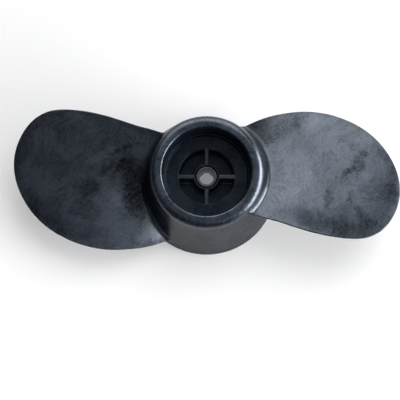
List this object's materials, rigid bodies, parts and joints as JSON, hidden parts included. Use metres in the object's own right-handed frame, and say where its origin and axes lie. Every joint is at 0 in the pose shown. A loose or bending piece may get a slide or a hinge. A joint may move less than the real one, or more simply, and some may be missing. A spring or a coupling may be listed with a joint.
{
  "type": "trolling motor propeller",
  "caption": "Left-hand screw propeller with broad rounded blades on a tapered hollow hub, for the shaft of a small electric outboard motor; the nut sits in a cup at its open end.",
  "frame": {"origin": "centre of the wide, motor-side end face of the hub, on the shaft axis", "axes": "+Z along the shaft from the motor side to the open end with the nut; +X along the middle of the right blade as the picture shows it"},
  "size_m": [0.2224, 0.0908, 0.0498],
  "materials": {
    "satin_moulding": "charcoal glass-filled nylon, satin, with cloudy flow marks and fine speckle",
    "inner_moulding": "the same charcoal nylon, finer and darker inside the hub",
    "sleeve": "dark grey bush, slightly smoother than the moulding"
  },
  "bodies": {
    "root": {"blade_left": "satin_moulding", "blade_right": "satin_moulding", "cup_floor": "inner_moulding", "cup_step": "inner_moulding", "cup_wall": "inner_moulding", "hub_cone": "satin_moulding", "hub_end_band": "satin_moulding", "hub_rim": "satin_moulding", "pocket_floor": "inner_moulding", "pocket_wall": "inner_moulding", "shaft_boss": "inner_moulding", "shaft_sleeve": "sleeve", "spoke_1": "inner_moulding", "spoke_2": "inner_moulding", "spoke_3": "inner_moulding", "spoke_4": "inner_moulding", "stiffening_rib_1": "inner_moulding", "stiffening_rib_2": "inner_moulding", "stiffening_rib_3": "inner_moulding", "stiffening_rib_4": "inner_moulding", "stiffening_rib_5": "inner_moulding", "stiffening_rib_6": "inner_moulding", "stiffening_rib_7": "inner_moulding", "stiffening_rib_8": "inner_moulding"}
  },
  "joints": []
}
